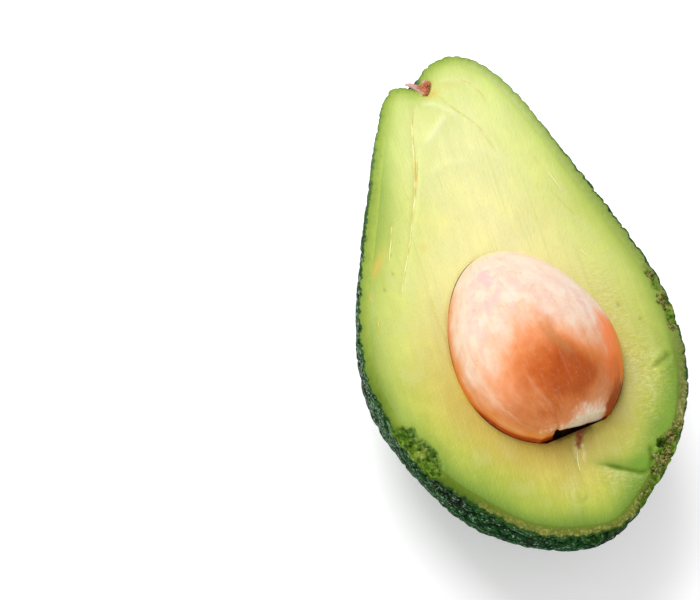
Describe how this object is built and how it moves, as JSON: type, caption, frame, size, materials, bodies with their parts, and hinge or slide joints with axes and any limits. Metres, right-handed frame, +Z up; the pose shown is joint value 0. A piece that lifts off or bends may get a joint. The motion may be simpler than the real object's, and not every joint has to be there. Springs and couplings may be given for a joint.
{
  "type": "avocado half",
  "caption": "Avocado cut lengthwise, lying on its pebbled peel, with the seed in the flesh and a stub of the stalk at the narrow end.",
  "frame": {"origin": "middle of the small flat spot on the back of the peel that the half rests on", "axes": "+Y along the fruit, from the wide blossom end to the narrow stalk end; +Z up, out of the level cut face; +X to the right of a person who looks down on the face with the stalk end away"},
  "size_m": [0.0674, 0.1121, 0.0478],
  "materials": {
    "peel": "glossy dark green pebbled skin",
    "flesh": "moist buttery cut flesh, yellow inside and green at the rim",
    "seed": "damp satin, pink-cream to orange-brown",
    "stalk_stub": "rough torn red-brown fibre"
  },
  "bodies": {
    "root": {"peel": "peel", "flesh": "flesh", "seed": "seed", "stalk_stub": "stalk_stub"}
  },
  "joints": []
}
